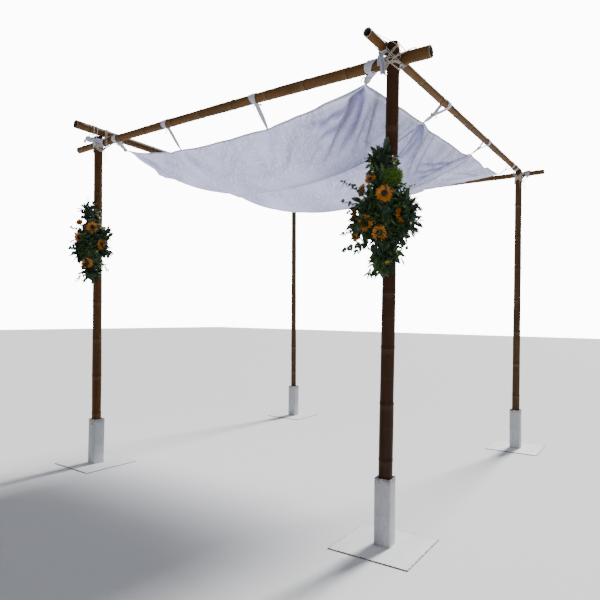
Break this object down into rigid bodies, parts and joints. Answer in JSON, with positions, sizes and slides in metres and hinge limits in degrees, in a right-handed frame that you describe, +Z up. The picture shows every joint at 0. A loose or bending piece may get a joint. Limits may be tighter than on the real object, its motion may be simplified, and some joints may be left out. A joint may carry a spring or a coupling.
{
  "type": "wedding chuppah",
  "caption": "Free-standing wedding chuppah: bamboo posts in steel feet carry a lashed bamboo top frame, a white cloth canopy tied inside it, and sunflower sprays on two posts.",
  "frame": {"origin": "centre of the whole object's footprint box, on the floor under the base plates", "axes": "+X along the front from the left corner to the front corner, +Y to the rear, +Z up"},
  "size_m": [3.6932, 3.6774, 3.1563],
  "materials": {
    "plate_paint": "brushed white paint, scuffed, on steel plate",
    "sleeve_paint": "brushed white paint on square steel tube",
    "post_bamboo": "dark weathered bamboo, satin",
    "beam_bamboo": "olive brown weathered bamboo, satin",
    "twine": "twisted natural twine",
    "tie_cloth": "thin white cotton tape",
    "white_cloth": "plain white woven cloth, slightly translucent",
    "foliage": "green leaves with yellow sunflower heads"
  },
  "bodies": {
    "root": {"base_plate_back": "plate_paint", "base_plate_front": "plate_paint", "base_plate_left": "plate_paint", "base_plate_right": "plate_paint", "base_sleeve_back": "sleeve_paint", "base_sleeve_front": "sleeve_paint", "base_sleeve_left": "sleeve_paint", "base_sleeve_right": "sleeve_paint", "beam_lower_front": "beam_bamboo", "beam_lower_rear": "beam_bamboo", "beam_upper_left": "beam_bamboo", "beam_upper_right": "beam_bamboo", "canopy": "white_cloth", "flower_spray_front": "foliage", "flower_spray_left": "foliage", "lashing_back": "twine", "lashing_front": "twine", "lashing_left": "twine", "lashing_right": "twine", "post_back": "post_bamboo", "post_front": "post_bamboo", "post_left": "post_bamboo", "post_right": "post_bamboo", "tie_front_1": "tie_cloth", "tie_front_2": "tie_cloth", "tie_front_left": "tie_cloth", "tie_front_right": "tie_cloth", "tie_left_1": "tie_cloth", "tie_left_2": "tie_cloth", "tie_rear_1": "tie_cloth", "tie_rear_2": "tie_cloth", "tie_rear_left": "tie_cloth", "tie_rear_right": "tie_cloth", "tie_right_1": "tie_cloth", "tie_right_2": "tie_cloth"}
  },
  "joints": []
}
